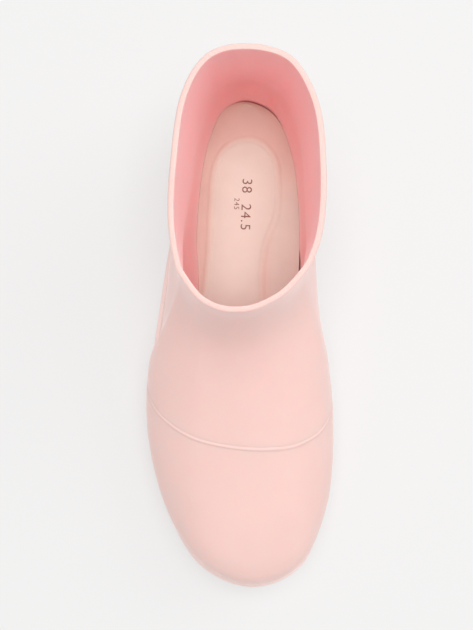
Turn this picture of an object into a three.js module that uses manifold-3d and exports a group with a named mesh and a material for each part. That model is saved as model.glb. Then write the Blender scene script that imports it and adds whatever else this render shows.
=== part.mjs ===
// A right-foot ankle rain boot, in millimetres. +Z is up, -Y points to the toe and +X to the big-toe side.
// The origin is on the ground, under the middle of the boot.
import * as THREE from "three";
import { mergeVertices } from "three/addons/utils/BufferGeometryUtils.js";
import Module from "manifold-3d";

const wasm = await Module();
wasm.setup();
const { lerp, smoothstep } = THREE.MathUtils;

// Driving dimensions
const WALL = 2.8; // thickness of the moulded upper
const GAP = 0.3; // clearance between touching pieces
const RIM_HEIGHT = 140;
const TREAD = 4; // tread plate and lugs together
const TREAD_PLATE = 1.6;
const TREAD_INSET = 2.8; // from the sole's outline
const FOREFOOT_TREAD = { from: -140, to: -28, firstGroove: -118, grooves: 10 }; // places along the boot
const HEEL_TREAD = { from: 57, to: 140, firstGroove: 65, grooves: 7 };
const GROOVE_PITCH = 9;
const GROOVE_WIDTH = 2.8;
const GROOVE_SWING = 2.2; // half the height of the grooves' zigzag
const GROOVE_STEP = 8; // half the length of the zigzag
const SOLE_FLOOR = 2.2; // floor of the hollow sole
const BOARD = 1.6; // insole board
const FILLER_INSET = 0.8; // from the footbed's outline
const FOREFOOT_FILLER = { from: -140, to: -18 };
const HEEL_FILLER = { from: 64, to: 140 };
const SEAT_CLEARANCE = 0.8; // between the footbed and the upper
const FOAM = 3.6; // footbed under its cover
const COVER = 1.1;
const HEEL_CUP = 4.5; // rise of the footbed's edge round the heel
const TOE_CUP = 1.2;
const SHANK = { from: -24, to: 84, width: 13, thickness: 1.4 };
const RIVETS = { front: -10, rear: 46 };
const RIVET_RADIUS = 1.6;
const RIVET_HEAD = { radius: 3.2, height: 0.7 };
// The raised line across the vamp: lean is how far its plane runs back for each millimetre down.
const BEAD = { height: 0.6, width: 2.6, lean: 1, turn: -0.1, aft: 11.8, lowest: 37 };
const ACROSS = 120; // wider than the boot
const [UNDER, OVER] = [-20, 60]; // below and above the sole

const AROUND = 48; // points round each ring, even: the first at the heel, the middle one at the toe
const LEVELS = 21; // bands up the upper
const LEDGE_LEVEL = 3; // the level at the sole's top edge

// Plan outlines, from the back of the heel round the outer side to the toe and back round the inner side.
// They have the same number of points, and points with the same number lie on one meridian.
const UPPER_OUTLINE = [
  [3.9, 130.2], [-14.1, 121.5], [-24.6, 98], [-29.6, 71], [-35.3, 43],
  [-40.4, 5], [-47.3, -14], [-48, -50], [-38.6, -88.5], [-20.7, -117.2],
  [6.9, -129.2],
  [32.1, -117.6], [45.4, -87], [48.6, -50], [46.2, -15], [40.9, 12],
  [38.5, 42], [36.7, 71], [33.9, 98], [23.4, 120.5],
];
const SOLE_OUTLINE = [
  [3.9, 132], [-16.6, 122.5], [-27.6, 98], [-32.4, 71], [-37.7, 43],
  [-42.5, 13], [-46.1, -13], [-46.9, -49], [-38.6, -89.3], [-21.3, -120.2],
  [6.9, -132],
  [33.1, -120], [45.1, -87], [47.3, -49], [43.8, -14], [39.7, 13],
  [38.2, 42], [37.9, 71], [36.1, 98], [25.9, 122],
];
const RIM_OUTLINE = [
  [2.2, 130.1], [-15.7, 125], [-26.6, 106.4], [-31, 76], [-31.8, 53],
  [-29.2, 34.5], [-25.5, 26.8], [-19.5, 19], [-13.8, 15.1], [-8.1, 13.1],
  [-2.1, 12.6],
  [4.9, 13.3], [11.9, 15.9], [19.3, 20.3], [26.5, 27.6], [32.3, 36.4],
  [36.6, 52], [37.5, 76], [34.4, 103.8], [22.6, 124.4],
];
const FOOTBED_OUTLINE = [
  [3.5, 122.6], [-9.1, 117.6], [-17.1, 99], [-21.1, 75], [-22.7, 50],
  [-22.3, 20], [-33.6, -14], [-38.9, -50], [-30.9, -88], [-16.1, -113.2],
  [6.9, -123.4],
  [27.9, -113], [37.5, -86], [39.5, -50], [35.9, -15], [30.9, 13],
  [31.1, 44], [30.5, 70], [27.1, 95], [18.5, 115],
];

// Meridians of the upper, from its foot inside the sole to the rim. Each row is the place in plan, which is
// -1 on the sole's outline, 0 on the upper's and 1 on the rim's, then the height, then the inset.
const TOE_MERIDIAN = [
  [-1, 15, 4], [-1, 18, 3.2], [-1, 24, 2.2], [0, 31, 0.2], [0.01, 39, 0],
  [0.035, 46.5, 0], [0.09, 52, 0], [0.2, 56.5, 0], [0.38, 61.5, 0], [0.6, 69, 0],
  [0.78, 79, 0], [0.89, 92, 0], [0.95, 108, 0], [0.985, 124, 0], [1, RIM_HEIGHT, 0],
];
const SIDE_MERIDIAN = [
  [-1, 15, 4], [-1, 18, 3.2], [-1, 25, 2.2], [0, 32, 0.2], [0.008, 37, 0],
  [0.035, 41.5, 0], [0.09, 46.5, 0], [0.2, 53, 0], [0.38, 61, 0], [0.6, 70.5, 0],
  [0.78, 81, 0], [0.89, 93, 0], [0.95, 108, 0], [0.985, 124, 0], [1, RIM_HEIGHT, 0],
];
const HEEL_MERIDIAN = [
  [-1, 17, 4], [-1, 24, 3.2], [-1, 32, 2.2], [0, 41, 0.3], [0.05, 49, 0],
  [0.12, 57, 0.4], [0.22, 65, 1.2], [0.34, 73, 2.2], [0.48, 81, 3.2], [0.62, 90, 3.8],
  [0.75, 99, 3.8], [0.86, 109, 3.2], [0.94, 120, 2], [0.98, 131, 0.8], [1, RIM_HEIGHT, 0],
];
// Where one meridian changes into the next, along the boot
const HEEL_TO_SIDE = [75, -45];
const SIDE_TO_TOE = [-85, -124];

// Rows of the meridians: the upper's inside stands on the footbed's outline up to SEAT_ROW, and keeps the
// wall's thickness from WALL_ROW up, which is lower at the forefoot than at the heel.
const SEAT_ROW = 2;
const WALL_ROW = { heel: 9, forefoot: 5 };
const WALL_ROW_CHANGES = [34, -24]; // along the boot

// The sole's side: the inset from its outline, and the share of the height from its underside to its top.
const SOLE_SIDE = [[4, 0], [1.2, 0.03], [0, 0.16], [0.5, 0.6], [0, 0.94], [0.5, 1]];

// A smooth curve through (position, value) pairs, level past its ends and nowhere beyond its pairs' values.
function along(pairs) {
  const last = pairs.length - 1;
  const secant = (i) => (pairs[i + 1][1] - pairs[i][1]) / (pairs[i + 1][0] - pairs[i][0]);
  const slope = (i) => {
    if (i === 0 || i === last || secant(i - 1) * secant(i) <= 0) return 0;
    return (2 * secant(i - 1) * secant(i)) / (secant(i - 1) + secant(i));
  };
  return (x) => {
    if (x <= pairs[0][0]) return pairs[0][1];
    if (x >= pairs[last][0]) return pairs[last][1];
    const i = pairs.findIndex(([px]) => px > x) - 1;
    const span = pairs[i + 1][0] - pairs[i][0];
    const t = (x - pairs[i][0]) / span;
    const bend = slope(i) * span * t * (1 - t) ** 2 - slope(i + 1) * span * t ** 2 * (1 - t);
    return lerp(pairs[i][1], pairs[i + 1][1], t ** 2 * (3 - 2 * t)) + bend;
  };
}

// Heights along the boot, by y
const toeSpring = along([[-133, 8], [-118, 3.8], [-102, 1], [-86, 0]]);
const waistArch = along([[-26, 0], [-8, 1.8], [16, 4], [40, 5]]);
const floorRise = along([[-34, 0], [-8, 2], [16, 4.2], [40, 5]]);
const boardTop = along([
  [-133, 19], [-112, 14.6], [-86, 12.6], [-50, 12.2], [-20, 13.8],
  [12, 17], [44, 20.2], [74, 21.8], [132, 22],
]);
const treadTop = (y) => toeSpring(y) + TREAD;
const soleBottom = (y) => treadTop(y) + GAP;
const floorTop = (y) => soleBottom(y) + SOLE_FLOOR + floorRise(y);
const boardBottom = (y) => boardTop(y) - BOARD;
const foamBottom = (y) => boardTop(y) + GAP;

const loop = (points) =>
  new THREE.CatmullRomCurve3(points.map(([x, y]) => new THREE.Vector3(x, y, 0)), true, "catmullrom", 0.5);

// A meridian's place in plan, height and inset, all as smooth functions of the way up it, from 0 to 1.
function meridian(rows) {
  const column = (k) => along(rows.map((row, i) => [i / (rows.length - 1), row[k]]));
  return { place: column(0), height: column(1), inset: column(2) };
}

const upperLoop = loop(UPPER_OUTLINE);
const soleLoop = loop(SOLE_OUTLINE);
const footbedLoop = loop(FOOTBED_OUTLINE);
const rimLoop = loop(RIM_OUTLINE);
const toeMeridian = meridian(TOE_MERIDIAN);
const sideMeridian = meridian(SIDE_MERIDIAN);
const heelMeridian = meridian(HEEL_MERIDIAN);
const ROWS = TOE_MERIDIAN.length - 1;

// The direction in plan from a loop towards its inside.
function inward(curve, u) {
  const step = 1e-3;
  const ahead = curve.getPoint((u + step) % 1);
  const behind = curve.getPoint((u + 1 - step) % 1);
  const tangent = ahead.sub(behind).normalize();
  return new THREE.Vector3(-tangent.y, tangent.x, 0);
}

// How far y has gone from one place along the boot to another nearer the toe, from 0 to 1.
const passed = (y, [from, to]) => smoothstep(-y, -from, -to);

// The upper's outer surface: u runs round it from the heel, v up it.
function upperPoint(u, v) {
  const base = upperLoop.getPoint(u);
  const blended = (key) => {
    const side = lerp(heelMeridian[key](v), sideMeridian[key](v), passed(base.y, HEEL_TO_SIDE));
    return lerp(side, toeMeridian[key](v), passed(base.y, SIDE_TO_TOE));
  };
  const place = blended("place");
  const outline = place < 0 ? soleLoop : rimLoop;
  const point = base.clone().lerp(outline.getPoint(u), Math.abs(place));
  point.addScaledVector(inward(upperLoop, u), blended("inset"));
  const foot = floorTop(point.y) + GAP;
  return point.setZ(lerp(foot, blended("height"), Math.min(v * ROWS, 1)));
}

function upperNormal(u, v) {
  const step = 1e-3;
  const [v0, v1] = [Math.max(v - step, 0), Math.min(v + step, 1)];
  const round = upperPoint((u + step) % 1, v).sub(upperPoint((u + 1 - step) % 1, v));
  const up = upperPoint(u, v1).sub(upperPoint(u, v0));
  return round.cross(up).normalize();
}

// A ring of the upper's surface, moved out along its normals, which are level at the foot and the rim.
const upperRing = (level, out = 0) =>
  Array.from({ length: AROUND }, (_, i) => {
    const [u, v] = [i / AROUND, level / LEVELS];
    const normal = upperNormal(u, v);
    if (level === 0 || level === LEVELS) normal.setZ(0).normalize();
    return upperPoint(u, v).addScaledVector(normal, out);
  });

// A ring of the upper's inside, which thickens towards its foot to meet the footbed.
const insideRing = (level) =>
  upperRing(level, -WALL).map((point, i) => {
    const u = i / AROUND;
    const y = upperLoop.getPoint(u).y;
    const wallRow = lerp(WALL_ROW.heel, WALL_ROW.forefoot, passed(y, WALL_ROW_CHANGES));
    const seat = footbedLoop.getPoint(u).addScaledVector(inward(footbedLoop, u), -SEAT_CLEARANCE);
    seat.setZ(level === 0 ? floorTop(seat.y) + GAP : point.z);
    return seat.lerp(point, smoothstep((level / LEVELS) * ROWS, SEAT_ROW, wallRow));
  });

// A ring that follows an outline, with its height worked out from each point's place.
const planRing = (curve, inset, heightAt) =>
  Array.from({ length: AROUND }, (_, i) => {
    const u = i / AROUND;
    const point = curve.getPoint(u).addScaledVector(inward(curve, u), inset);
    return point.setZ(heightAt(point.y, 1));
  });

// Closed surfaces, as lists of triangles
const quad = (a, b, c, d) => [a, b, c, a, c, d];

function band(lower, upper) {
  const n = lower.length;
  return lower.flatMap((point, i) => quad(point, lower[(i + 1) % n], upper[(i + 1) % n], upper[i]));
}

// Fills a ring with rungs from each point to the one opposite, cut into steps. heightAt gives a step's
// height from its y and from its place on the rung, 0 in the middle and 1 at the edge.
function deck(ring, heightAt, steps) {
  const n = ring.length;
  const rung = (i) =>
    Array.from({ length: steps + 1 }, (_, k) => {
      if (k === 0) return ring[i];
      if (k === steps) return ring[n - i];
      const point = ring[i].clone().lerp(ring[n - i], k / steps);
      return point.setZ(heightAt(point.y, Math.abs((2 * k) / steps - 1)));
    });
  const rungs = Array.from({ length: n / 2 - 1 }, (_, i) => rung(i + 1));
  const triangles = [];
  for (let k = 0; k < steps; k++) {
    triangles.push(ring[0], rungs[0][k], rungs[0][k + 1]);
    triangles.push(rungs.at(-1)[k], ring[n / 2], rungs.at(-1)[k + 1]);
    for (let i = 0; i < rungs.length - 1; i++) {
      triangles.push(...quad(rungs[i][k], rungs[i + 1][k], rungs[i + 1][k + 1], rungs[i][k + 1]));
    }
  }
  return triangles;
}

const turnedOver = (triangles) =>
  triangles.map((_, i) => triangles[i % 3 === 0 ? i : i % 3 === 1 ? i + 1 : i - 1]);

const geometryOf = (triangles) => mergeVertices(new THREE.BufferGeometry().setFromPoints(triangles), 1e-4);

// A solid through rings, closed with a deck at each end.
function loft(rings, bottomAt, topAt, steps = 1) {
  const sides = rings.slice(1).flatMap((ring, i) => band(rings[i], ring));
  const bottom = turnedOver(deck(rings[0], bottomAt, steps));
  return geometryOf([...bottom, ...sides, ...deck(rings.at(-1), topAt, steps)]);
}

// An upright slab of an outline between two heights.
const plate = (curve, inset, bottomAt, topAt, steps) =>
  loft([planRing(curve, inset, bottomAt), planRing(curve, inset, topAt)], bottomAt, topAt, steps);

// A slab across the boot, centred on x = 0, whose side view is a list of (y, z) points.
function crossSlab(points, width) {
  const shape = new THREE.Shape(points.map(([y, z]) => new THREE.Vector2(y, z)));
  const slab = new THREE.ExtrudeGeometry(shape, { depth: width, bevelEnabled: false });
  slab.translate(0, 0, -width / 2);
  return slab.applyMatrix4(new THREE.Matrix4().set(0, 0, 1, 0, 1, 0, 0, 0, 0, 1, 0, 0, 0, 0, 0, 1));
}

// Solids that are joined and cut
function solidOf(geometry) {
  const bare = geometry.index ? geometry.toNonIndexed() : geometry.clone();
  bare.deleteAttribute("normal");
  bare.deleteAttribute("uv");
  const merged = mergeVertices(bare, 1e-4);
  return new wasm.Manifold(
    new wasm.Mesh({
      numProp: 3,
      vertProperties: merged.attributes.position.array,
      triVerts: new Uint32Array(merged.index.array),
    }),
  );
}

function geometryFrom(solid) {
  const mesh = solid.getMesh();
  return new THREE.BufferGeometry()
    .setAttribute("position", new THREE.BufferAttribute(new Float32Array(mesh.vertProperties), 3))
    .setIndex(new THREE.BufferAttribute(new Uint32Array(mesh.triVerts), 1));
}

// Materials
const plain = (color, roughness, metalness = 0) =>
  new THREE.MeshStandardMaterial({ color, roughness, metalness });
const MATERIALS = {
  pinkRubber: plain(0xf5c2bb, 0.6),
  nudeLeather: plain(0xe9c4b2, 0.7),
  creamFoam: plain(0xf1e6d8, 0.9),
  brownBoard: plain(0xb89a78, 0.9),
  greyFoam: plain(0xcfcac2, 0.95),
  steel: plain(0xa9acb0, 0.35, 1),
};

const boot = new THREE.Group();
function add(name, geometry, material) {
  geometry.computeVertexNormals();
  const mesh = new THREE.Mesh(geometry, material);
  mesh.name = name;
  boot.add(mesh);
}

// The upper: up the outside, over the rim and down the inside, in one closed wall.
function wall(outset) {
  const levels = Array.from({ length: LEVELS + 1 }, (_, level) => level);
  const outer = levels.map((level) => upperRing(level, outset));
  const inner = levels.map(insideRing).reverse();
  const rings = [...outer, ...inner];
  return solidOf(geometryOf(rings.flatMap((ring, j) => band(ring, rings[(j + 1) % rings.length]))));
}

// The raised line lies where a plane that leans back from the toe cuts the vamp.
function beadSlab() {
  const reach = 200;
  const slab = new THREE.BoxGeometry(reach, BEAD.width, reach);
  slab.rotateX(Math.atan(BEAD.lean));
  slab.rotateZ(BEAD.turn);
  slab.translate(0, BEAD.aft, 0);
  const above = new THREE.BoxGeometry(reach, reach, reach);
  above.translate(0, -reach / 2, BEAD.lowest + reach / 2);
  return solidOf(slab).intersect(solidOf(above));
}

function upperShell() {
  return geometryFrom(wall(0).add(wall(BEAD.height).intersect(beadSlab())));
}

// The sole is a cup: its side, its top ledge, then down the upper's outside to the floor.
function soleUnit() {
  const levels = Array.from({ length: LEDGE_LEVEL + 1 }, (_, i) => LEDGE_LEVEL - i);
  const inner = levels.map((level) => upperRing(level, GAP));
  const side = SOLE_SIDE.map(([inset, share]) => {
    const ring = planRing(soleLoop, inset, soleBottom);
    return ring.map((point, i) => point.setZ(lerp(point.z, inner[0][i].z, share)));
  });
  const floorEdge = inner.at(-1).map((point) => point.clone().setZ(floorTop(point.y)));
  const cup = loft([...side, ...inner, floorEdge], soleBottom, floorTop);
  return geometryFrom(solidOf(cup).subtract(archCutter()));
}

// What is missing under the waist, between the forefoot tread and the front face of the heel.
function archCutter() {
  const [start, end, stations] = [FOREFOOT_TREAD.to + 2, HEEL_TREAD.from - 1, 14];
  const top = Array.from({ length: stations + 1 }, (_, i) => {
    const y = lerp(start, end, i / stations);
    return [y, soleBottom(y) + waistArch(y)];
  });
  return solidOf(crossSlab([[start, UNDER], [end, UNDER], ...top.reverse()], ACROSS));
}

// Keeps what lies between two places along the boot.
function between(solid, { from, to }) {
  return solid.intersect(solidOf(crossSlab([[from, UNDER], [to, UNDER], [to, OVER], [from, OVER]], ACROSS)));
}

// A zigzag groove across the tread, as deep as the lugs are high.
function groove(y) {
  const turns = ACROSS / GROOVE_STEP;
  const edge = (offset) =>
    Array.from({ length: turns + 1 }, (_, i) => {
      const swing = i % 2 ? GROOVE_SWING : -GROOVE_SWING;
      return new THREE.Vector2((i - turns / 2) * GROOVE_STEP, swing + offset);
    });
  const shape = new THREE.Shape([...edge(-GROOVE_WIDTH / 2), ...edge(GROOVE_WIDTH / 2).reverse()]);
  const extra = 2; // below the lugs
  const depth = TREAD - TREAD_PLATE + extra;
  const cutter = new THREE.ExtrudeGeometry(shape, { depth, bevelEnabled: false });
  return solidOf(cutter.translate(0, y, toeSpring(y) - extra));
}

function tread(place) {
  const slab = between(solidOf(plate(soleLoop, TREAD_INSET, toeSpring, treadTop)), place);
  const ys = Array.from({ length: place.grooves }, (_, i) => place.firstGroove + i * GROOVE_PITCH);
  return geometryFrom(ys.reduce((solid, y) => solid.subtract(groove(y)), slab));
}

// The shank follows the board's underside. Grown by a clearance, it also cuts the room it needs.
function shankSolid(grow = 0) {
  const stations = 16;
  const edge = (offset) =>
    Array.from({ length: stations + 1 }, (_, i) => {
      const y = lerp(SHANK.from - grow, SHANK.to + grow, i / stations);
      return [y, boardBottom(y) - GAP + offset];
    });
  const outline = [...edge(-SHANK.thickness - grow), ...edge(grow).reverse()];
  return solidOf(crossSlab(outline, SHANK.width + 2 * grow));
}

function rivetSolid(y, grow = 0) {
  const top = boardTop(y) - 0.1 + grow;
  const bottom = boardBottom(y) - GAP - SHANK.thickness - GAP - RIVET_HEAD.height - grow;
  const head = RIVET_HEAD.radius + grow;
  const stem = RIVET_RADIUS + grow;
  const collar = RIVET_HEAD.height + 2 * grow;
  const profile = [
    [0, bottom], [head, bottom], [head, bottom + collar], [stem, bottom + collar],
    [stem, top - collar], [head, top - collar], [head, top], [0, top],
  ];
  const rivet = new THREE.LatheGeometry(profile.map(([r, z]) => new THREE.Vector2(r, z)), 20);
  return solidOf(rivet.rotateX(Math.PI / 2).translate(0, y, 0));
}

const withRivetHoles = (solid) =>
  Object.values(RIVETS).reduce((rest, y) => rest.subtract(rivetSolid(y, GAP)), solid);

const insoleBoard = () => geometryFrom(withRivetHoles(solidOf(plate(footbedLoop, 0, boardBottom, boardTop))));

const shank = () => geometryFrom(withRivetHoles(shankSolid()));

function filler(place) {
  const hollow = plate(footbedLoop, FILLER_INSET, (y) => floorTop(y) + GAP, (y) => boardBottom(y) - GAP);
  return geometryFrom(between(solidOf(hollow).subtract(shankSolid(GAP)), place));
}

// The footbed rises at its edge, most of all round the heel.
const edgeRise = along([[-125, TOE_CUP], [-20, TOE_CUP], [80, HEEL_CUP]]);
const foamTop = (y, edge) => foamBottom(y) + FOAM + edgeRise(y) * edge ** 3;
const coverBottom = (y, edge) => foamTop(y, edge) + GAP;
const coverTop = (y, edge) => coverBottom(y, edge) + COVER;

function footbedFoam() {
  const bottom = planRing(footbedLoop, 1.6, foamBottom);
  const side = planRing(footbedLoop, 0, (y) => foamBottom(y) + 1.5);
  return loft([bottom, side, planRing(footbedLoop, 0, foamTop)], foamBottom, foamTop, 8);
}

const footbedCover = () => plate(footbedLoop, 0, coverBottom, coverTop, 8);

add("upper_shell", upperShell(), MATERIALS.pinkRubber);
add("sole_unit", soleUnit(), MATERIALS.pinkRubber);
add("forefoot_tread", tread(FOREFOOT_TREAD), MATERIALS.pinkRubber);
add("heel_tread", tread(HEEL_TREAD), MATERIALS.pinkRubber);
add("insole_board", insoleBoard(), MATERIALS.brownBoard);
add("shank", shank(), MATERIALS.steel);
add("shank_rivet_front", geometryFrom(rivetSolid(RIVETS.front)), MATERIALS.steel);
add("shank_rivet_rear", geometryFrom(rivetSolid(RIVETS.rear)), MATERIALS.steel);
add("forefoot_filler", filler(FOREFOOT_FILLER), MATERIALS.greyFoam);
add("heel_filler", filler(HEEL_FILLER), MATERIALS.greyFoam);
add("footbed_foam", footbedFoam(), MATERIALS.creamFoam);
add("footbed_cover", footbedCover(), MATERIALS.nudeLeather);

export default boot;
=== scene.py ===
"""A right ankle rain boot on a pale floor, seen from straight above."""

import math

import bpy
import numpy as np
from mathutils import Matrix, Vector
from mathutils.bvhtree import BVHTree


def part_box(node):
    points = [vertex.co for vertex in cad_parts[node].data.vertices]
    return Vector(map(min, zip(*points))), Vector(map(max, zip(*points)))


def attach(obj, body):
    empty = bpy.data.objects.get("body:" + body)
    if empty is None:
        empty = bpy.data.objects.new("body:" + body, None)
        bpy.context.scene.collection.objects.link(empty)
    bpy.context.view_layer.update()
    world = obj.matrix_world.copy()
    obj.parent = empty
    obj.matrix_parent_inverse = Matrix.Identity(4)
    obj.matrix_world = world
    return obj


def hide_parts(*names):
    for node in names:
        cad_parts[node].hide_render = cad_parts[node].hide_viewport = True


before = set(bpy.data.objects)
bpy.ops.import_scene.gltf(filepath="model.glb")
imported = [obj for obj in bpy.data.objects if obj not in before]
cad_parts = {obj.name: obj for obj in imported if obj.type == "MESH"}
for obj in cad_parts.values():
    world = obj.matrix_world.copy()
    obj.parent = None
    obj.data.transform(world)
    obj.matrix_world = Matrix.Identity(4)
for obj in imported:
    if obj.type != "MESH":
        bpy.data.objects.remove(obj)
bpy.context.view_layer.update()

MM = 0.001  # the shapes below are worked out in millimetres

# Shared with the CAD part
WALL = 2.8  # thickness of the moulded upper
GAP = 0.3  # clearance between touching pieces
RIM_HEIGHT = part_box("upper_shell")[1].z / MM
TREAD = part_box("heel_tread")[1].z / MM  # tread plate and lugs together
TREAD_PLATE = 1.6
TREAD_INSET = 2.8  # from the sole's outline
TREADS = {  # places along the boot
    "forefoot_tread": {"from": -140, "to": -28, "first_groove": -118, "grooves": 10},
    "heel_tread": {"from": 57, "to": 140, "first_groove": 65, "grooves": 7},
}
GROOVE_PITCH = 9
GROOVE_WIDTH = 2.8
GROOVE_SWING = 2.2  # half the height of the grooves' zigzag
GROOVE_STEP = 8  # half the length of the zigzag
SOLE_FLOOR = 2.2  # floor of the hollow sole
SEAT_CLEARANCE = 0.8  # between the footbed and the upper
FOAM = 3.6  # footbed under its cover
COVER = 1.1
HEEL_CUP = 4.5  # rise of the footbed's edge round the heel
TOE_CUP = 1.2
# The raised line across the vamp: lean is how far its plane runs back for each millimetre down.
BEAD = {"lean": 1, "turn": -0.1, "aft": 11.8, "lowest": 37}
LEDGE_V = 1 / 7  # how far up the upper's meridians the sole's top edge is
ACROSS = 120  # wider than the boot
UNDER, OVER = -20, 60  # below and above the sole

# Only here
FAR = 400  # past the boot's ends
AROUND = 288  # points round each ring, even: the first at the heel, the middle one at the toe
FOOTBED_AROUND = 720
UPPER_RINGS = 118
LAST_RING_V = 0.98  # how far up the meridians the rounded rim takes over
LEDGE_RINGS = 12
FACET_SAG = 0.08  # the CAD's facets lie inside the smooth surface, so the upper is moved in by this much
LEDGE_GAP = 0.06  # between the sole's inside and the upper
COVER_GAP = 0.05  # between the footbed's foam and its cover
ARCH_MARGIN = {"front": 2, "rear": -1}  # from the treads' ends to the ends of the arch
TREAD_FLARE = 0.2  # how much further out a tread's top is than its underside
TREAD_BEVEL = 0.3
GROOVE_CUT = 12  # height of the grooves' cutters
BEAD_HALF_WIDTH = 1.3
BEAD_HEIGHT = 0.32
BEAD_SINK = 0.15  # how deep the line's sides lie in the vamp
BEAD_ROUNDNESS = 1.5  # power of the cosine in its section
BEAD_FADE = 0.03  # share of the line's length over which each end fades out
BEAD_SECTION = 13  # points across the line's top
# Where the raised line is looked for: from, to and steps round the upper and up it
BEAD_SEARCH = {"round": (0.3, 0.7, 260), "up": (0.2, 0.75, 900)}

# Plan outlines, from the back of the heel round the outer side to the toe and back round the inner side
UPPER_OUTLINE = [
    (3.9, 130.2), (-14.1, 121.5), (-24.6, 98), (-29.6, 71), (-35.3, 43),
    (-40.4, 5), (-47.3, -14), (-48, -50), (-38.6, -88.5), (-20.7, -117.2),
    (6.9, -129.2),
    (32.1, -117.6), (45.4, -87), (48.6, -50), (46.2, -15), (40.9, 12),
    (38.5, 42), (36.7, 71), (33.9, 98), (23.4, 120.5),
]
SOLE_OUTLINE = [
    (3.9, 132), (-16.6, 122.5), (-27.6, 98), (-32.4, 71), (-37.7, 43),
    (-42.5, 13), (-46.1, -13), (-46.9, -49), (-38.6, -89.3), (-21.3, -120.2),
    (6.9, -132),
    (33.1, -120), (45.1, -87), (47.3, -49), (43.8, -14), (39.7, 13),
    (38.2, 42), (37.9, 71), (36.1, 98), (25.9, 122),
]
RIM_OUTLINE = [
    (2.2, 130.1), (-15.7, 125), (-26.6, 106.4), (-31, 76), (-31.8, 53),
    (-29.2, 34.5), (-25.5, 26.8), (-19.5, 19), (-13.8, 15.1), (-8.1, 13.1),
    (-2.1, 12.6),
    (4.9, 13.3), (11.9, 15.9), (19.3, 20.3), (26.5, 27.6), (32.3, 36.4),
    (36.6, 52), (37.5, 76), (34.4, 103.8), (22.6, 124.4),
]
FOOTBED_OUTLINE = [
    (3.5, 122.6), (-9.1, 117.6), (-17.1, 99), (-21.1, 75), (-22.7, 50),
    (-22.3, 20), (-33.6, -14), (-38.9, -50), (-30.9, -88), (-16.1, -113.2),
    (6.9, -123.4),
    (27.9, -113), (37.5, -86), (39.5, -50), (35.9, -15), (30.9, 13),
    (31.1, 44), (30.5, 70), (27.1, 95), (18.5, 115),
]
# Meridians of the upper, from its foot inside the sole to the rim. Each row is the place in plan, which is
# -1 on the sole's outline, 0 on the upper's and 1 on the rim's, then the height, then the inset.
TOE_MERIDIAN = [
    (-1, 15, 4), (-1, 18, 3.2), (-1, 24, 2.2), (0, 31, 0.2), (0.01, 39, 0),
    (0.035, 46.5, 0), (0.09, 52, 0), (0.2, 56.5, 0), (0.38, 61.5, 0), (0.6, 69, 0),
    (0.78, 79, 0), (0.89, 92, 0), (0.95, 108, 0), (0.985, 124, 0), (1, RIM_HEIGHT, 0),
]
SIDE_MERIDIAN = [
    (-1, 15, 4), (-1, 18, 3.2), (-1, 25, 2.2), (0, 32, 0.2), (0.008, 37, 0),
    (0.035, 41.5, 0), (0.09, 46.5, 0), (0.2, 53, 0), (0.38, 61, 0), (0.6, 70.5, 0),
    (0.78, 81, 0), (0.89, 93, 0), (0.95, 108, 0), (0.985, 124, 0), (1, RIM_HEIGHT, 0),
]
HEEL_MERIDIAN = [
    (-1, 17, 4), (-1, 24, 3.2), (-1, 32, 2.2), (0, 41, 0.3), (0.05, 49, 0),
    (0.12, 57, 0.4), (0.22, 65, 1.2), (0.34, 73, 2.2), (0.48, 81, 3.2), (0.62, 90, 3.8),
    (0.75, 99, 3.8), (0.86, 109, 3.2), (0.94, 120, 2), (0.98, 131, 0.8), (1, RIM_HEIGHT, 0),
]
ROWS = len(TOE_MERIDIAN) - 1
# Where one meridian changes into the next, along the boot
HEEL_TO_SIDE = (75, -45)
SIDE_TO_TOE = (-85, -124)

# Rows of the meridians: the upper's inside stands on the footbed's outline up to SEAT_ROW, and keeps the
# wall's thickness from WALL_ROW up, which is lower at the forefoot than at the heel.
SEAT_ROW = 2
WALL_ROW = {"heel": 9, "forefoot": 5}
WALL_ROW_CHANGES = (34, -24)  # along the boot
# Where the footbed stands clear of the upper: the middle of each gap, as a share of the way round, and how
# far it reaches to either side. Elsewhere the two all but touch.
SEAT_GAPS = [(-0.02, 0.052), (-0.215, 0.021), (0.5, 0.25)]
SEAT_GAP_CORE = 0.3  # share of a gap's reach that is fully clear
SEAT_TOUCH = 0.04

# The rim's rounded edge, as (outset, rise) rows from its outside to its inside
RIM_PROFILE = [
    (0, -1.6), (-0.1, -0.95), (-0.35, -0.4), (-0.75, -0.1), (-1.2, 0),
    (-2.45, 0), (-2.68, -0.07), (-2.8, -0.3),
]
# Sides, as rows of the inset from the outline and the share of the height from underside to top
SOLE_SIDE = [
    (5, 0), (3.2, 0), (2.1, 0.008), (1.2, 0.035), (0.5, 0.085), (0.1, 0.16), (0, 0.25),
    (0.35, 0.45), (0.45, 0.62), (0.25, 0.8), (0.02, 0.9), (0.05, 0.955), (0.3, 0.988), (0.75, 1),
]
COVER_SIDE = [(0.3, 0), (0.05, 0.25), (0, 0.5), (0.02, 0.92), (0.1, 1)]
FOAM_SIDE = [(2.2, 0), (1.2, 0.06), (0.5, 0.2), (0.15, 0.5), (0, 0.9), (0.1, 1)]

# The channel embossed round the footbed's middle panel, from its heel down the outer side
CHANNEL = {"width": 4.6, "edge": 1.6, "depth": 0.7}
TOP_MARGIN = 0.3  # points this little below the cover's top still count as its top
PANEL_STEPS = 900  # points along the panel's outline
# Where the panel's lighter tone fades in over the inner arch, as painted light that lifts the shade there:
# between two places across the boot, and two along it
ARCH_PAINTED_LIGHT = {"across": (8, 20), "along": (100, 62)}
PANEL_OUTLINE = [
    (3.2, 104), (-7.1, 99.5), (-13.3, 88), (-15.3, 66), (-16.5, 42), (-20.1, 14),
    (-27.1, -16), (-31.1, -48), (-25.1, -84), (-9.1, -108), (6.9, -113), (21.9, -106),
    (31.9, -84), (32.9, -54), (24.9, -22), (13.9, 4), (11.3, 30), (13.5, 49),
    (19.1, 64), (20.1, 80), (18.3, 93), (11.9, 101.5),
]

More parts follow.
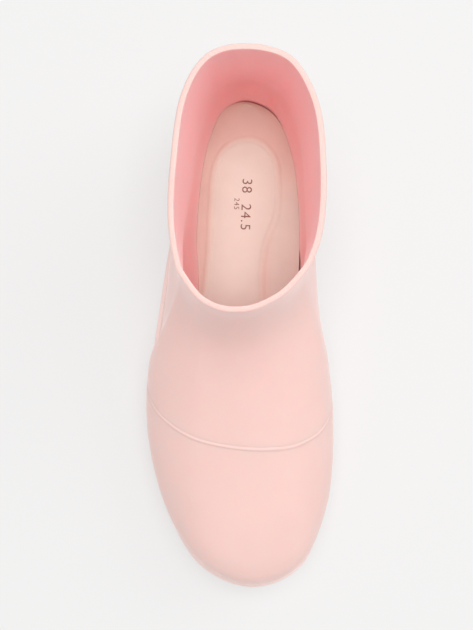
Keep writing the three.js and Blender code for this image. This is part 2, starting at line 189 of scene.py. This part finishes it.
# Size numerals printed on the footbed, each as a name, what it says, its middle and its height
PRINTS = [
    ("size_numerals", "38  24.5", (3.1, 69.7), 5.2),
    ("length_numerals", "245", (-1.8, 70), 2.7),
]
PRINT_TURN = -92.5  # degrees, so that they read towards the toe
PRINT_THICKNESS = 0.08
PRINT_THINNING = -0.008  # share of the numerals' height
PRINT_SPACING = 1.12
DIGIT_HEIGHT = 0.7  # of the built-in font's size

# The stage: places and sizes in metres, lens and sensor in millimetres, power in watts
CAMERA = {"place": (-0.0018, 0.0116, 0.684), "lens": 71.5, "sensor": 36}
ROOM_LIGHT = 0.55
LIGHTS = [
    {"name": "above", "place": (0.05, 0.27, 2.0), "target": (0, 0.03, 0), "size": 0.9, "power": 22},
    {"name": "side", "place": (1.0, 0.6, 1.2), "target": (0, 0, 0.03), "size": 1.0, "power": 4.5},
]
FLOOR_REACH = 25
FLOOR_GLOW = 0.46


# Curves

def along(pairs):
    """A smooth curve through (position, value) pairs that never passes beyond its pairs' values."""
    x, y = np.array(pairs, float).T
    secants = np.diff(y) / np.diff(x)
    before, after = secants[:-1], secants[1:]
    same_way = before * after > 0
    total = np.where(same_way, before + after, 1)
    slopes = np.concatenate([[0], np.where(same_way, 2 * before * after / total, 0), [0]])

    def value(at):
        at = np.clip(at, x[0], x[-1])
        i = np.clip(np.searchsorted(x, at, side="right") - 1, 0, len(x) - 2)
        span = x[i + 1] - x[i]
        t = (at - x[i]) / span
        bend = slopes[i] * span * t * (1 - t) ** 2 - slopes[i + 1] * span * t ** 2 * (1 - t)
        return y[i] + (y[i + 1] - y[i]) * t ** 2 * (3 - 2 * t) + bend

    return value


def loop(points):
    """A closed smooth curve through plan points, as a function of the way round it, from 0 to 1."""
    p = np.array(points, float)
    n = len(p)

    def point(u):
        t = (np.asarray(u) % 1) * n
        i = np.floor(t).astype(int) % n
        f = (t - np.floor(t))[..., None]
        a, b, c, d = p[i - 1], p[i], p[(i + 1) % n], p[(i + 2) % n]
        return b + 0.5 * f * (c - a + f * (2 * a - 5 * b + 4 * c - d + f * (3 * (b - c) + d - a)))

    return point


def inward(curve, u):
    """The level direction from a closed curve into it."""
    step = 1e-3
    tangent = curve(u + step) - curve(u - step)
    tangent /= np.linalg.norm(tangent, axis=-1, keepdims=True)
    return np.stack([-tangent[..., 1], tangent[..., 0]], -1)


def smoothstep(x, low, high):
    """0 up to low, 1 from high on, and a soft rise between them."""
    t = np.clip((x - low) / (high - low), 0, 1)
    return t * t * (3 - 2 * t)


def meridian(rows):
    """The place, the height and the inset up a meridian, each as a function of how far up it is."""
    steps = np.linspace(0, 1, len(rows))
    return [along(list(zip(steps, column))) for column in zip(*rows)]


upper_loop = loop(UPPER_OUTLINE)
sole_loop = loop(SOLE_OUTLINE)
rim_loop = loop(RIM_OUTLINE)
footbed_loop = loop(FOOTBED_OUTLINE)
meridians = [meridian(rows) for rows in (HEEL_MERIDIAN, SIDE_MERIDIAN, TOE_MERIDIAN)]

toe_spring = along([(-133, 8), (-118, 3.8), (-102, 1), (-86, 0)])
waist_arch = along([(-26, 0), (-8, 1.8), (16, 4), (40, 5)])
floor_rise = along([(-34, 0), (-8, 2), (16, 4.2), (40, 5)])
board_top = along([
    (-133, 19), (-112, 14.6), (-86, 12.6), (-50, 12.2), (-20, 13.8),
    (12, 17), (44, 20.2), (74, 21.8), (132, 22),
])
edge_rise = along([(-125, TOE_CUP), (-20, TOE_CUP), (80, HEEL_CUP)])


def sole_bottom(y):
    return toe_spring(y) + TREAD + GAP


def floor_top(y):
    return sole_bottom(y) + SOLE_FLOOR + floor_rise(y)


def foam_top(y, edge):
    return board_top(y) + GAP + FOAM + edge_rise(y) * edge ** 3


def cover_top(y, edge):
    return foam_top(y, edge) + GAP + COVER


# Surfaces

def passed(y, stretch):
    """How far y has gone from one place along the boot to another nearer the toe, from 0 to 1."""
    return smoothstep(-y, -stretch[0], -stretch[1])


def upper_point(u, v):
    """The upper's outer surface: u runs round it from the heel, v up it."""
    u, v = np.broadcast_arrays(u, v)
    base = upper_loop(u)
    to_side, to_toe = (passed(base[..., 1], stretch) for stretch in (HEEL_TO_SIDE, SIDE_TO_TOE))
    weights = ((1 - to_side) * (1 - to_toe), to_side * (1 - to_toe), to_toe)
    place, height, inset = (
        sum(column(v) * weight for column, weight in zip(columns, weights)) for columns in zip(*meridians)
    )
    outline = np.where(place[..., None] < 0, sole_loop(u), rim_loop(u))
    plan = base + (outline - base) * np.abs(place)[..., None]
    plan = plan + inward(upper_loop, u) * inset[..., None]
    foot = floor_top(plan[..., 1]) + GAP
    height = foot + (height - foot) * np.minimum(v * ROWS, 1)
    return np.concatenate([plan, height[..., None]], -1)


def upper_normal(u, v, level=False):
    step = 1e-3
    sideways = upper_point(u + step, v) - upper_point(u - step, v)
    up = upper_point(u, np.minimum(v + step, 1)) - upper_point(u, np.maximum(v - step, 0))
    normal = np.cross(sideways, up)
    if level:
        normal[..., 2] = 0
    return normal / np.linalg.norm(normal, axis=-1, keepdims=True)


def upper_ring(v, out=0, level=False):
    """A ring of points round the upper, moved out from its surface. A level one moves sideways only."""
    u = np.arange(AROUND) / AROUND
    return upper_point(u, v) + upper_normal(u, v, level) * out


def inside_ring(v, level=False):
    """The upper's inside, which thickens towards its foot to meet the footbed."""
    u = np.arange(AROUND) / AROUND
    ring = upper_ring(v, -WALL, level)
    heel_share = 1 - passed(upper_loop(u)[:, 1], WALL_ROW_CHANGES)
    wall_row = WALL_ROW["forefoot"] + (WALL_ROW["heel"] - WALL_ROW["forefoot"]) * heel_share
    clearance = np.full(AROUND, SEAT_TOUCH)
    for middle, reach in SEAT_GAPS:
        away = np.abs((u - middle + 0.5) % 1 - 0.5) / reach
        clearance += (SEAT_CLEARANCE - SEAT_TOUCH) * (1 - smoothstep(away, SEAT_GAP_CORE, 1))
    seat = footbed_loop(u) - inward(footbed_loop, u) * clearance[:, None]
    share = smoothstep(v * ROWS, SEAT_ROW, wall_row)[:, None]
    ring[:, :2] = seat + (ring[:, :2] - seat) * share
    if level:
        ring[:, 2] = floor_top(ring[:, 1]) + GAP
    return ring


def plan_ring(curve, inset, height_at, count=AROUND):
    """A ring of points inside an outline, at heights that are a function of y."""
    u = np.arange(count) / count
    plan = curve(u) + inward(curve, u) * inset
    return np.column_stack([plan, height_at(plan[:, 1])])


class Solid:
    """Points and faces that grow ring by ring."""

    def __init__(self):
        self.points = []
        self.faces = []

    def add(self, points):
        start = len(self.points)
        self.points.extend(map(tuple, points))
        return list(range(start, len(self.points)))

    def band(self, lower, upper):
        n = len(lower)
        for i in range(n):
            j = (i + 1) % n
            self.faces.append((lower[i], lower[j], upper[j], upper[i]))

    def rings(self, rings):
        ids = [self.add(ring) for ring in rings]
        for lower, upper in zip(ids, ids[1:]):
            self.band(lower, upper)
        return ids

    def join(self, other):
        start = len(self.points)
        self.points.extend(other.points)
        self.faces.extend(tuple(start + i for i in face) for face in other.faces)

    def deck(self, ring, height_at, steps, turned=False):
        """Fills a ring with rungs from each point to the one opposite. height_at takes y and how near the
        edge a point is, from 0 to 1."""
        n = len(ring)
        at = np.array([self.points[i] for i in ring])
        share = np.linspace(0, 1, steps + 1)
        rungs = []
        for i in range(1, n // 2):
            row = at[i] + (at[n - i] - at[i]) * share[1:-1, None]
            row[:, 2] = height_at(row[:, 1], np.abs(2 * share[1:-1] - 1))
            rungs.append([ring[i], *self.add(row), ring[n - i]])
        faces = []
        for k in range(steps):
            faces.append((ring[0], rungs[0][k], rungs[0][k + 1]))
            faces.append((rungs[-1][k], ring[n // 2], rungs[-1][k + 1]))
            for a, b in zip(rungs, rungs[1:]):
                faces.append((a[k], b[k], b[k + 1], a[k + 1]))
        self.faces.extend(f[::-1] if turned else f for f in faces)

    def build(self, name, material, smooth_angle=40):
        mesh = bpy.data.meshes.new(name)
        mesh.from_pydata([(x * MM, y * MM, z * MM) for x, y, z in self.points], [], self.faces)
        mesh.materials.append(material)
        mesh.update()
        obj = bpy.data.objects.new(name, mesh)
        bpy.context.scene.collection.objects.link(obj)
        shade(obj, smooth_angle)
        return obj


def shade(obj, angle):
    """Smooth shading, with hard edges where two faces meet at more than the angle."""
    mesh = obj.data
    mesh.shade_smooth()
    mesh.set_sharp_from_angle(angle=math.radians(angle))


def apply_modifiers(obj):
    graph = bpy.context.evaluated_depsgraph_get()
    made = bpy.data.meshes.new_from_object(obj.evaluated_get(graph))
    obj.modifiers.clear()
    obj.data = made


def cut(obj, cutter):
    boolean = obj.modifiers.new("cut", "BOOLEAN")
    boolean.object = cutter
    boolean.operation = "DIFFERENCE"
    boolean.solver = "EXACT"
    apply_modifiers(obj)
    bpy.data.objects.remove(cutter)


# Materials

def new_material(name, **sockets):
    """A Principled material with the given sockets set, its node tree and its shader."""
    material = bpy.data.materials.new(name)
    material.use_nodes = True
    tree = material.node_tree
    shader = tree.nodes["Principled BSDF"]
    for socket, value in sockets.items():
        shader.inputs[socket.replace("_", " ")].default_value = value
    return material, tree, shader


def texture_node(tree, kind, scale):
    """A procedural texture laid out in the object's own space."""
    place = tree.nodes.new("ShaderNodeTexCoord")
    texture = tree.nodes.new(kind)
    texture.inputs["Scale"].default_value = scale
    tree.links.new(place.outputs["Object"], texture.inputs["Vector"])
    return texture


def noise(tree, scale, detail):
    texture = texture_node(tree, "ShaderNodeTexNoise", scale)
    texture.inputs["Detail"].default_value = detail
    return texture


def cells(tree, scale):
    return texture_node(tree, "ShaderNodeTexVoronoi", scale)


def vary_color(tree, shader, texture, low, high):
    ramp = tree.nodes.new("ShaderNodeValToRGB")
    ramp.color_ramp.elements[0].position = 0.3
    ramp.color_ramp.elements[1].position = 0.7
    ramp.color_ramp.elements[0].color = (*low, 1)
    ramp.color_ramp.elements[1].color = (*high, 1)
    tree.links.new(texture.outputs["Fac"], ramp.inputs["Fac"])
    tree.links.new(ramp.outputs["Color"], shader.inputs["Base Color"])
    return ramp


def vary_roughness(tree, shader, texture, low, high):
    spread = tree.nodes.new("ShaderNodeMapRange")
    spread.inputs["To Min"].default_value = low
    spread.inputs["To Max"].default_value = high
    tree.links.new(texture.outputs["Fac"], spread.inputs["Value"])
    tree.links.new(spread.outputs["Result"], shader.inputs["Roughness"])


def bump(tree, shader, texture, strength, depth, output="Fac"):
    node = tree.nodes.new("ShaderNodeBump")
    node.inputs["Strength"].default_value = strength
    node.inputs["Distance"].default_value = depth
    tree.links.new(texture.outputs[output], node.inputs["Height"])
    last = shader.inputs["Normal"]
    if last.links:
        tree.links.new(last.links[0].from_socket, node.inputs["Normal"])
    tree.links.new(node.outputs["Normal"], last)


def shaded(color, factor):
    return tuple(c * factor for c in color)


def rubber(name, color, weight=0.6, glow=(0, 0, 0, 1)):
    """Matte moulded rubber with faint clouding, an even fine grain and a soft sheen. weight is how much
    light seeps through it, and glow is painted light: a faint glow of its own that stands in for light
    bouncing onto it."""
    material, tree, shader = new_material(
        name,
        Specular_IOR_Level=0.35,
        Sheen_Weight=0.4,
        Sheen_Roughness=0.4,
        Sheen_Tint=(1, 0.87, 0.85, 1),
        Subsurface_Weight=weight,
        Subsurface_Radius=(5, 2.1, 1.9),
        Subsurface_Scale=MM,
        Emission_Color=glow,
        Emission_Strength=1.0,
    )
    vary_color(tree, shader, noise(tree, scale=38, detail=4), shaded(color, 0.985), shaded(color, 1.01))
    vary_roughness(tree, shader, noise(tree, scale=120, detail=5), low=0.5, high=0.66)
    bump(tree, shader, noise(tree, scale=2600, detail=2), strength=0.12, depth=0.00008)
    bump(tree, shader, noise(tree, scale=90, detail=3), strength=0.05, depth=0.0006)
    return material


def leatherette(name, color, panel_color_with_painted_light):
    """The footbed's cover: a fine pebble grain, with a lighter tone on its panel and arch. The panel's tone
    is partly its own and partly painted light, with the edges and heel outside it kept darker as painted
    shade; over the arch it is painted light that lifts the shade there.
    """
    material, tree, shader = new_material(name, Specular_IOR_Level=0.3)
    clouds = noise(tree, scale=60, detail=4)
    tones = [
        vary_color(tree, shader, clouds, shaded(tone, 0.97), shaded(tone, 1.02))
        for tone in (color, panel_color_with_painted_light)
    ]
    panel = tree.nodes.new("ShaderNodeAttribute")
    panel.attribute_name = "panel"
    mix = tree.nodes.new("ShaderNodeMix")
    mix.data_type = "RGBA"
    colors = [s for s in mix.inputs if s.type == "RGBA"]
    tree.links.new(panel.outputs["Fac"], mix.inputs["Factor"])
    for ramp, socket in zip(tones, colors):
        tree.links.new(ramp.outputs["Color"], socket)
    mixed = next(s for s in mix.outputs if s.type == "RGBA")
    tree.links.new(mixed, shader.inputs["Base Color"])
    vary_roughness(tree, shader, noise(tree, scale=150, detail=3), low=0.6, high=0.78)
    bump(tree, shader, cells(tree, scale=1100), strength=0.25, depth=0.00012, output="Distance")
    return material


def foam(name, color):
    """Closed-cell foam: small round cells and mottled colour."""
    material, tree, shader = new_material(name, Specular_IOR_Level=0.2)
    vary_color(tree, shader, noise(tree, scale=300, detail=5), shaded(color, 0.9), shaded(color, 1.04))
    vary_roughness(tree, shader, noise(tree, scale=200, detail=2), low=0.85, high=0.98)
    bump(tree, shader, cells(tree, scale=900), strength=0.4, depth=0.0002, output="Distance")
    return material


def fibre_board(name, color):
    """Pressed fibre: small darker and lighter flecks."""
    material, tree, shader = new_material(name, Specular_IOR_Level=0.25)
    fibres = noise(tree, scale=500, detail=6)
    vary_color(tree, shader, fibres, shaded(color, 0.8), shaded(color, 1.1))
    vary_roughness(tree, shader, noise(tree, scale=180, detail=3), low=0.8, high=0.95)
    bump(tree, shader, fibres, strength=0.3, depth=0.00015)
    return material


def strip_steel(name, color):
    """Cold-rolled steel with faint marks."""
    material, tree, shader = new_material(name, Metallic=1.0)
    marks = noise(tree, scale=700, detail=4)
    vary_color(tree, shader, marks, shaded(color, 0.9), shaded(color, 1.05))
    vary_roughness(tree, shader, marks, low=0.3, high=0.5)
    bump(tree, shader, marks, strength=0.1, depth=0.00005)
    return material


def ink(name, color):
    """Printing ink, slightly worn."""
    material, tree, shader = new_material(name, Specular_IOR_Level=0.3)
    vary_color(tree, shader, noise(tree, scale=900, detail=3), shaded(color, 0.85), shaded(color, 1.25))
    vary_roughness(tree, shader, noise(tree, scale=400, detail=2), low=0.5, high=0.7)
    return material


PINK = (0.88, 0.605, 0.56)
NUDE = (0.8, 0.68, 0.59)
pink_rubber = rubber("pink_rubber", PINK)
# Painted light: the inside's brighter, deeper pink and faint glow stand in for light bouncing round inside
# the shaft and seeping through its thin wall.
inside_rubber_painted_bounce = rubber("inside_rubber_painted_bounce", (1, 0.61, 0.6), weight=1, glow=(0.065, 0.005, 0.009, 1))
# The sole is painted a lighter pink than the upper, as painted light, so that its ledge looks as lit as a
# light-catching edge.
sole_rubber = rubber("sole_rubber", (0.94, 0.73, 0.69), weight=0)
# The raised line is the vamp's own rubber, painted a little darker as painted shade to tone down the
# highlight on its top.
line_rubber = rubber("line_rubber", shaded(PINK, 0.965), weight=0)
tread_rubber = rubber("tread_rubber", shaded(PINK, 0.94))
# The cover's base tone is kept darker at its edges and heel as painted shade. The lighter panel tone is
# partly the panel's own and partly painted light.
cover_skin = leatherette("cover_skin", NUDE, (0.79, 0.81, 0.71))
footbed_foam_look = foam("footbed_foam_look", (0.82, 0.7, 0.58))
filler_look = foam("filler_look", (0.6, 0.58, 0.54))
print_ink = ink("print_ink", (0.24, 0.12, 0.09))
board_look = fibre_board("board_look", (0.45, 0.3, 0.18))
steel_look = strip_steel("steel_look", (0.56, 0.57, 0.58))


# Pieces

def make_upper():
    """The vamp and shaft in one, with its outside and its inside each in a material of its own. The
    inside's brighter, deeper pink and faint glow are painted light, for the light that bounces round inside
    the shaft and seeps through its wall.
    """
    levels = np.linspace(0, LAST_RING_V, UPPER_RINGS)
    outer = [upper_ring(v, -FACET_SAG, level=(i == 0)) for i, v in enumerate(levels)]
    inner = [inside_ring(v, level=(i == 0)) for i, v in enumerate(levels)]
    edge = upper_ring(1, level=True)
    out = upper_normal(np.arange(AROUND) / AROUND, 1, level=True)
    rim = [edge + out * outset + (0, 0, rise) for outset, rise in RIM_PROFILE]
    solid = Solid()
    ids = solid.rings([*outer, *rim])
    inside_from = len(solid.faces)
    inner_ids = solid.rings(inner[::-1])
    solid.band(ids[-1], inner_ids[0])
    solid.band(inner_ids[-1], ids[0])
    upper = solid.build("upper", pink_rubber)
    upper.data.materials.append(inside_rubber_painted_bounce)
    for face in upper.data.polygons[inside_from:]:
        face.material_index = 1
    return upper


def bead_curve():
    """Points and normals where a plane that leans back from the toe cuts the vamp."""
    found = []
    rows = np.linspace(*BEAD_SEARCH["up"])
    for u in np.linspace(*BEAD_SEARCH["round"]):
        at = upper_point(u, rows)
        ahead = at[:, 1] - BEAD["aft"] - at[:, 0] * BEAD["turn"] + BEAD["lean"] * at[:, 2]
        crossing = np.nonzero((ahead[:-1] < 0) & (ahead[1:] >= 0) & (at[:-1, 2] > BEAD["lowest"]))[0]
        if len(crossing):
            k = crossing[0]
            share = ahead[k] / (ahead[k] - ahead[k + 1])
            v = rows[k] + (rows[k + 1] - rows[k]) * share
            found.append((upper_point(u, v), upper_normal(np.array(u), np.array(v))))
    return [np.array(side) for side in zip(*found)]


def make_bead():
    """The raised line: a low rounded rib that follows the vamp and fades out at both ends."""
    points, normals = bead_curve()
    tangents = np.gradient(points, axis=0)
    across = np.cross(normals, tangents)
    across /= np.linalg.norm(across, axis=1, keepdims=True)
    ends = np.linspace(0, 1, len(points))
    fade = smoothstep(ends, 0, BEAD_FADE) * smoothstep(1 - ends, 0, BEAD_FADE)
    steps = np.linspace(-1, 1, BEAD_SECTION)
    solid = Solid()
    rows = []
    for point, normal, side, rise in zip(points, normals, across, fade):
        height = (BEAD_HEIGHT + BEAD_SINK) * np.cos(steps * np.pi / 2) ** BEAD_ROUNDNESS * rise - BEAD_SINK
        top = point + side * (steps * BEAD_HALF_WIDTH)[:, None] + normal * height[:, None]
        low = point + side * (steps[::-1][1:-1] * BEAD_HALF_WIDTH)[:, None] - normal * 2 * BEAD_SINK
        rows.append(solid.add([*top, *low]))
    for a, b in zip(rows, rows[1:]):
        solid.band(a, b)
    solid.faces.append(tuple(rows[0][::-1]))
    solid.faces.append(tuple(rows[-1]))
    return solid.build("upper_line", line_rubber, smooth_angle=60)


def make_sole():
    """The hollow sole: its side, its inside that follows the upper, its floor and the arch under it."""
    levels = np.linspace(LEDGE_V, 0, LEDGE_RINGS)
    inner = [upper_ring(v, LEDGE_GAP, level=(v == 0)) for v in levels]
    side = []
    for inset, share in SOLE_SIDE:
        ring = plan_ring(sole_loop, inset, sole_bottom)
        ring[:, 2] += (inner[0][:, 2] - ring[:, 2]) * share
        side.append(ring)
    edge = inner[-1].copy()
    edge[:, 2] = floor_top(edge[:, 1])
    solid = Solid()
    ids = solid.rings([*side, *inner, edge])
    solid.deck(ids[0], lambda y, edge: sole_bottom(y), steps=24, turned=True)
    solid.deck(ids[-1], lambda y, edge: floor_top(y), steps=24)
    sole = solid.build("sole", sole_rubber)
    cut(sole, arch_cutter())
    shade(sole, angle=40)
    return sole


def prism(outline, low, high, upright=False):
    """A closed prism of a plan outline run upwards, or of a side outline run across the boot."""
    solid = Solid()
    ends = ([(a, b, t) if upright else (t, a, b) for a, b in outline] for t in (low, high))
    start, end = map(solid.add, ends)
    solid.band(start, end)
    solid.faces.append(tuple(start[::-1]))
    solid.faces.append(tuple(end))
    return solid


def arch_cutter():
    """What is cut from under the sole between its treads, up to the waist's arch."""
    start = TREADS["forefoot_tread"]["to"] + ARCH_MARGIN["front"]
    end = TREADS["heel_tread"]["from"] + ARCH_MARGIN["rear"]
    ys = np.linspace(end, start, 40)
    roof = list(zip(ys, sole_bottom(ys) + waist_arch(ys)))
    outline = [(start, UNDER), (end, UNDER), *roof]
    return prism(outline, -ACROSS / 2, ACROSS / 2).build("arch_cutter", pink_rubber)


def groove_cutter(ys):
    """Zigzag grooves across the tread, joined in one mesh."""
    turns = ACROSS // GROOVE_STEP
    xs = (np.arange(turns + 1) - turns / 2) * GROOVE_STEP
    swings = np.where(np.arange(turns + 1) % 2, GROOVE_SWING, -GROOVE_SWING)
    solid = Solid()
    for y in ys:
        near = [(x, y + s - GROOVE_WIDTH / 2) for x, s in zip(xs, swings)]
        far = [(x, y + s + GROOVE_WIDTH / 2) for x, s in zip(xs, swings)]
        top = float(toe_spring(y)) + TREAD - TREAD_PLATE
        solid.join(prism([*near, *far[::-1]], top - GROOVE_CUT, top, upright=True))
    return solid.build("groove_cutter", tread_rubber)


def make_tread(name, place):
    """One tread: the sole's outline, cut off at its ends, grooved from below and bevelled."""
    solid = Solid()
    low = plan_ring(sole_loop, TREAD_INSET, toe_spring)
    high = plan_ring(sole_loop, TREAD_INSET - TREAD_FLARE, lambda y: toe_spring(y) + TREAD)
    ids = solid.rings([low, high])
    solid.deck(ids[0], lambda y, edge: toe_spring(y), steps=6, turned=True)
    solid.deck(ids[-1], lambda y, edge: toe_spring(y) + TREAD, steps=6)
    tread = solid.build(name + "_lugs", tread_rubber)
    for start, end in ((-FAR, place["from"]), (place["to"], FAR)):
        outline = [(start, UNDER), (end, UNDER), (end, OVER), (start, OVER)]
        cut(tread, prism(outline, -ACROSS / 2, ACROSS / 2).build("end_cutter", tread_rubber))
    ys = [place["first_groove"] + i * GROOVE_PITCH for i in range(place["grooves"])]
    cut(tread, groove_cutter(ys))
    bevel = tread.modifiers.new("bevel", "BEVEL")
    bevel.width = TREAD_BEVEL * MM
    bevel.segments = 2
    bevel.limit_method = "ANGLE"
    bevel.angle_limit = math.radians(40)
    apply_modifiers(tread)
    shade(tread, angle=30)
    return tread


def inside_loop(x, y, line):
    """Whether each point lies inside a closed polyline."""
    inside = np.zeros(len(x), bool)
    for (ax, ay), (bx, by) in zip(line, np.roll(line, -1, axis=0)):
        crosses = (ay > y) != (by > y)
        if ay != by:
            inside ^= crosses & (x < (bx - ax) * (y - ay) / (by - ay) + ax)
    return inside


def distance_to(x, y, line):
    """How far each point is from the nearest of a line's points."""
    nearest = np.full(len(x), np.inf)
    for px, py in line:
        nearest = np.minimum(nearest, (x - px) ** 2 + (y - py) ** 2)
    return np.sqrt(nearest)


def emboss(solid):
    """Sinks a soft channel round the middle panel, and says how much of the panel's tone each point has,
    with the tone over the inner arch as painted light.
    """
    at = np.array(solid.points)
    line = loop(PANEL_OUTLINE)(np.linspace(0, 1, PANEL_STEPS, endpoint=False))
    distance = distance_to(at[:, 0], at[:, 1], line)
    signed = np.where(inside_loop(at[:, 0], at[:, 1], line), distance, -distance)
    half, edge = CHANNEL["width"] / 2, CHANNEL["edge"]
    channel = smoothstep(signed, -half, edge - half) * (1 - smoothstep(signed, half - edge, half))
    on_top = at[:, 2] > cover_top(at[:, 1], 0) - TOP_MARGIN
    at[:, 2] -= np.where(on_top, CHANNEL["depth"] * channel, 0)
    solid.points = list(map(tuple, at))
    # The lighter tone is painted over the inner arch as painted light, to lift the shade there.
    arch = smoothstep(at[:, 0], *ARCH_PAINTED_LIGHT["across"]) * passed(at[:, 1], ARCH_PAINTED_LIGHT["along"])
    return np.where(on_top, np.maximum(smoothstep(signed, -half, half), arch), 0)


def make_footbed_cover():
    """The footbed's cover, with its embossed channel, and a point attribute for the panel's tone, which is
    partly painted light and shade.
    """
    solid = Solid()
    rings = []
    for inset, share in COVER_SIDE:
        ring = plan_ring(footbed_loop, inset, lambda y: foam_top(y, 1) + COVER_GAP, FOOTBED_AROUND)
        top = cover_top(ring[:, 1], 1)
        ring[:, 2] += (top - ring[:, 2]) * share
        rings.append(ring)
    ids = solid.rings(rings)
    solid.deck(ids[0], lambda y, edge: foam_top(y, edge) + COVER_GAP, steps=12, turned=True)
    solid.deck(ids[-1], cover_top, steps=130)
    panel = emboss(solid)
    cover = solid.build("footbed_top", cover_skin, smooth_angle=60)
    attribute = cover.data.attributes.new("panel", "FLOAT", "POINT")
    attribute.data.foreach_set("value", panel.astype(np.float32))
    return cover


def make_numerals(name, text, place, height, cover):
    """Printed numerals that lie on the footbed's cover and read towards the toe."""
    curve = bpy.data.curves.new(name, "FONT")
    curve.body = text
    curve.size = height * MM / DIGIT_HEIGHT
    curve.offset = PRINT_THINNING * height * MM
    curve.space_character = PRINT_SPACING
    curve.align_x = "CENTER"
    curve.align_y = "CENTER"
    curve.extrude = PRINT_THICKNESS * MM / 2
    letters = bpy.data.objects.new(name, curve)
    bpy.context.scene.collection.objects.link(letters)
    mesh = bpy.data.meshes.new_from_object(letters.evaluated_get(bpy.context.evaluated_depsgraph_get()))
    bpy.data.objects.remove(letters)
    turn = Matrix.Rotation(math.radians(PRINT_TURN), 4, "Z")
    mesh.transform(Matrix.Translation((place[0] * MM, place[1] * MM, 0)) @ turn)
    surface = BVHTree.FromObject(cover, bpy.context.evaluated_depsgraph_get())
    for vertex in mesh.vertices:
        x, y, z = vertex.co
        below = surface.ray_cast(Vector((x, y, 1)), Vector((0, 0, -1)))[0]
        vertex.co.z = below.z + z + PRINT_THICKNESS * MM
    mesh.materials.append(print_ink)
    numerals = bpy.data.objects.new(name, mesh)
    bpy.context.scene.collection.objects.link(numerals)
    return numerals


def make_footbed_foam():
    """The footbed's body under its cover, with a cupped edge."""
    solid = Solid()
    rings = []
    for inset, share in FOAM_SIDE:
        ring = plan_ring(footbed_loop, inset, lambda y: board_top(y) + GAP)
        ring[:, 2] += (foam_top(ring[:, 1], 1) - ring[:, 2]) * share
        rings.append(ring)
    ids = solid.rings(rings)
    solid.deck(ids[0], lambda y, edge: board_top(y) + GAP, steps=12, turned=True)
    solid.deck(ids[-1], foam_top, steps=24)
    return solid.build("footbed_base", footbed_foam_look)


def make_floor():
    mesh = bpy.data.meshes.new("floor")
    corners = [(x * FLOOR_REACH, y * FLOOR_REACH, 0) for x, y in ((-1, -1), (1, -1), (1, 1), (-1, 1))]
    mesh.from_pydata(corners, [], [(0, 1, 2, 3)])
    floor = bpy.data.objects.new("floor", mesh)
    bpy.context.scene.collection.objects.link(floor)
    paper, tree, shader = new_material(
        "floor_paper",
        Roughness=0.95,
        Specular_IOR_Level=0.1,
        Emission_Color=(1, 1, 1, 1),
        Emission_Strength=FLOOR_GLOW,
    )
    clouds = noise(tree, scale=2, detail=2)
    vary_color(tree, shader, clouds, (0.375, 0.3735, 0.371), (0.385, 0.3835, 0.381))
    mesh.materials.append(paper)


def area_light(name, place, target, size, power):
    """A square light that faces its target."""
    data = bpy.data.lights.new(name, "AREA")
    data.size = size
    data.energy = power
    lamp = bpy.data.objects.new(name, data)
    lamp.location = place
    lamp.rotation_mode = "QUATERNION"
    lamp.rotation_quaternion = (Vector(target) - Vector(place)).to_track_quat("-Z", "Y")
    bpy.context.scene.collection.objects.link(lamp)


def make_light():
    world = bpy.data.worlds.new("soft_room")
    world.use_nodes = True
    background = world.node_tree.nodes["Background"]
    background.inputs["Color"].default_value = (1, 1, 1, 1)
    background.inputs["Strength"].default_value = ROOM_LIGHT
    bpy.context.scene.world = world
    for light in LIGHTS:
        area_light(**light)
    bpy.context.scene.view_settings.view_transform = "Standard"


def make_camera():
    data = bpy.data.cameras.new("camera")
    data.lens = CAMERA["lens"]
    data.sensor_width = CAMERA["sensor"]
    data.clip_start = 0.01
    camera = bpy.data.objects.new("camera", data)
    camera.location = CAMERA["place"]
    bpy.context.scene.collection.objects.link(camera)
    bpy.context.scene.camera = camera


def place_piece(obj, body, slot, *nodes):
    """Gives a piece its body and hides the CAD nodes that it stands for. slot is not used."""
    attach(obj, body)
    if nodes:
        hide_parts(*nodes)


def finish_cad_node(name, material):
    """Gives its finish to a CAD node that is shown as it is."""
    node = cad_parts[name]
    node.data.materials.clear()
    node.data.materials.append(material)


make_camera()
make_light()
make_floor()

place_piece(make_upper(), "boot", "upper_rubber", "upper_shell")
place_piece(make_bead(), "boot", "upper_rubber")
place_piece(make_sole(), "boot", "sole_rubber", "sole_unit")
for tread_name, tread_place in TREADS.items():
    place_piece(make_tread(tread_name, tread_place), "boot", "tread_rubber", tread_name)
footbed_base = make_footbed_foam()
place_piece(footbed_base, "insole", "footbed_foam", "footbed_foam")
footbed_top = make_footbed_cover()
place_piece(footbed_top, "insole", "footbed_skin", "footbed_cover")
for numeral_name, numeral_text, numeral_place, numeral_height in PRINTS:
    numerals = make_numerals(numeral_name, numeral_text, numeral_place, numeral_height, footbed_top)
    place_piece(numerals, "insole", "footbed_skin")
finish_cad_node("insole_board", board_look)
for steel_name in ("shank", "shank_rivet_front", "shank_rivet_rear"):
    finish_cad_node(steel_name, steel_look)
for filler_name in ("forefoot_filler", "heel_filler"):
    finish_cad_node(filler_name, filler_look)
